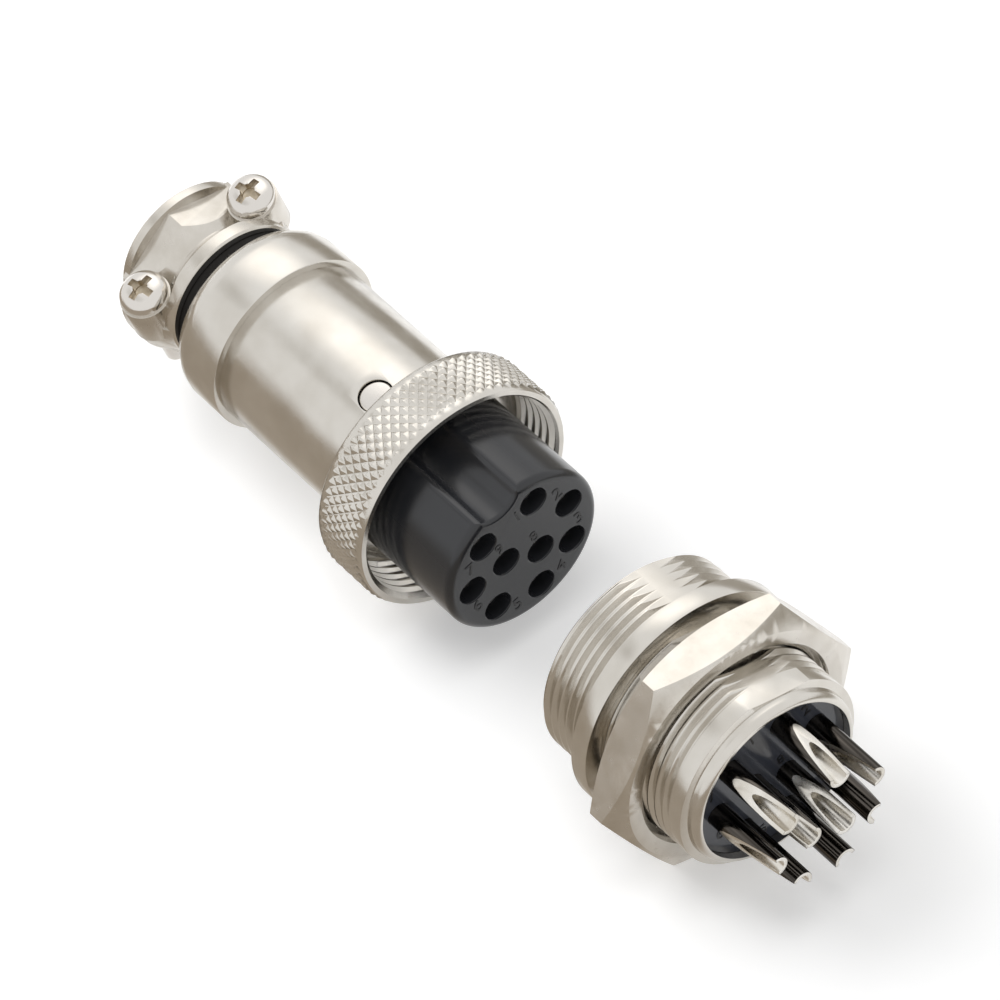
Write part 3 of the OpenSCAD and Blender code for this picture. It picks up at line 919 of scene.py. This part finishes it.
# Angles from the key that the solder cups are open to
CUP_TURNS = [OUTER_ANGLES[0], -70] + OUTER_ANGLES[2:] + [-10, -40]


def contact_place(number):
    radius, angle = CONTACTS[number - 1]
    return radius * sin(radians(angle)), radius * cos(radians(angle))


def socket_pins():
    """One pin with its solder cup, modelled once, then set and turned in nine places."""
    tip, end = span("pin_1")
    nose, cup, shoulder, bore, skin = 0.8, 1.15, 6.2, 0.75, 0.06
    scoop, drilled = 6.6, 5.5
    mill_size, scoop_gap, mill_lift = (12, 3, 4), 0.02, 0.004
    nose_round = [(tip + nose - nose * cos(a), nose * sin(a))
                  for a in [radians(d) for d in range(18, 91, 12)]]
    pin = turned("pin_turned", nose_round + [
        (shoulder, nose), (shoulder, cup), (end, cup)], segments=48, ring=False)
    ball = [(end - drilled + bore * (1 - cos(a)), bore * sin(a))
            for a in [radians(d) for d in range(15, 91, 15)]]
    machine(pin, turned("cup_drill", ball + [(end + PAST, bore)], segments=40, ring=False))
    length, half, high = mill_size
    mill = block((0, -half, 0), (length, half, high))
    slope = Vector((scoop, 0, -cup)).angle(Vector((1, 0, 0)))
    put(mill, end - scoop - scoop_gap, 0, cup + mill_lift, (0, slope, 0))
    machine(pin, mill)
    break_edges(pin, 0.07, 2, 30)
    pin.data.materials.append(silver)
    pin.data.materials.append(painted_dark_sides)
    # The cups' outsides take the painted dark reflection; the nose and the scoop keep the silver.
    for face in pin.data.polygons:
        middle = face.center / MM
        if middle.x > shoulder and off_axis(middle) > cup - skin:
            face.material_index = 1
    for number, turn in enumerate(CUP_TURNS, 1):
        copy = copy_of(f"pin_{number}_cup", pin.data)
        put_by_key(copy, 0, *contact_place(number), (radians(-turn), 0, 0))
        finish_piece(copy, None, "silver_contact", "socket", f"pin_{number}")
    bpy.data.objects.remove(pin)


# ---------------------------------------------------------------- plug insert

def plug_insert():
    """Nose with a round keyway along its top, rounded shoulders beside it and nine holes."""
    rear, face = span("plug_insert")
    lip_front = span("barrel")[1]
    nose, spigot, rounding = 8.6, 7.8, 0.8
    floor, hollow, shoulder, flare, run = 6.95, 2.63, 0.9, 0.45, 0.3
    nose_round = [(face - rounding + rounding * sin(a), nose - rounding + rounding * cos(a))
                  for a in [radians(d) for d in range(0, 91, 10)]]
    insert = turned("plug_insert_moulded", [(rear, spigot), (lip_front, spigot),
                                            (lip_front, nose)] + nose_round,
                    segments=160, ring=False)
    start, middle = lip_front + PAST, floor + hollow
    rim = [(face - flare + flare * sin(a), hollow + flare * (1 - cos(a)))
           for a in [radians(d) for d in range(0, 76, 15)]]
    keyway = turned("keyway_cutter", [(start, hollow)] + rim + [(face + 0.5, hollow + flare)],
                    segments=72, ring=False)
    put(keyway, 0, 0, middle)
    machine(insert, keyway)
    # the middle of a shoulder, which touches the nose from inside and the hollow from outside
    ridge_z = ((nose - shoulder) ** 2 - (hollow + shoulder) ** 2 + middle ** 2) / (2 * middle)
    ridge_y = ((nose - shoulder) ** 2 - ridge_z ** 2) ** 0.5
    for slope in [radians(d) for d in (40, 31, 22, 13, 4)]:
        half = ridge_y - shoulder * sin(slope) - run
        low = ridge_z + shoulder * cos(slope) - run * tan(slope)
        machine(insert, sloped_cutter(start, face + PAST, low, half, slope))
    hole, mouth = 1.45, 1.58
    drill_shape = [(lip_front, hole), (face - 0.14, hole), (face - 0.05, hole + 0.04),
                   (face + 0.01, mouth), (face + PAST, mouth)]
    drills = []
    for number in range(1, 10):
        drills.append(turned("contact_drill", drill_shape, segments=40, ring=False))
        put(drills[-1], 0, *contact_place(number))
    machine(insert, join(drills))
    roll_about_axis(insert, KEY_ROLL)
    finish_piece(insert, plastic, "black_plastic", "plug", "plug_insert", angle=32)


# ---------------------------------------------------------------- contact numbers

DIGIT_SIZE = 1.4                 # size of the type for a digit of height 1
DIGIT_LIFT = 0.05


def number_on(face_x, number, y, z, height, body):
    """A plain digit on a face that looks along +X, at a place given with the key on top."""
    clear_selection()
    bpy.ops.object.text_add()
    text = bpy.context.object.data
    text.body = str(number)
    text.size = height * MM * DIGIT_SIZE
    text.align_x = "CENTER"
    text.align_y = "CENTER"
    text.extrude = DIGIT_LIFT * MM
    text.resolution_u = 3
    bpy.ops.object.convert(target="MESH")
    digit = bpy.context.object
    digit.name = f"{body}_number_{number}"
    put_by_key(digit, face_x, y, z, (QUARTER, 0, QUARTER))
    finish_piece(digit, ink, "black_plastic", body)


def contact_numbers(body, insert, one, circle, turn, rise, heights):
    """Digits beside the contacts of one half. Two to seven stand between their contacts, on
    a circle with the y and z radii that circle holds, and moved on by turn in degrees. one is
    the place of the first, and rise is how far eight and nine stand above their contacts.
    heights are those of two to seven, of one, and of eight and nine."""
    face = span(insert)[1]
    for number in range(2, 8):
        angle = radians(OUTER_ANGLES[number - 1] - OUTER_STEP / 2 + turn)
        number_on(face, number, circle[0] * sin(angle), circle[1] * cos(angle), heights[0],
                  body)
    number_on(face, 1, *one, heights[1], body)
    for number in (8, 9):
        y, z = contact_place(number)
        number_on(face, number, y, z + rise, heights[2], body)


# ---------------------------------------------------------------- CAD nodes that stay

def dress_cad(material, *names):
    for name in names:
        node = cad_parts[name]
        node.data.materials.clear()
        node.data.materials.append(material)


coupling_ring()
socket_shell()
hex_nut()
barrel()
tail_ring()
cable_sleeve()
cable_clamp()
clamp_screws()
insert_screw()
socket_pins()
plug_insert()
ONE_R, ONE_ANGLE = 5.2, radians(12)
contact_numbers("plug", "plug_insert", (ONE_R * sin(ONE_ANGLE), ONE_R * cos(ONE_ANGLE)),
                (6.35, 6.4), 2, 2.3, (1.5, 1.4, 1.3))
contact_numbers("socket", "socket_insert", (0, 6.3), (6.9, 6.9), 0, 2.1, (1.3, 1.3, 1.2))
dress_cad(slate, "socket_insert")
dress_cad(silver, *[f"plug_contact_{number}" for number in range(1, 10)])
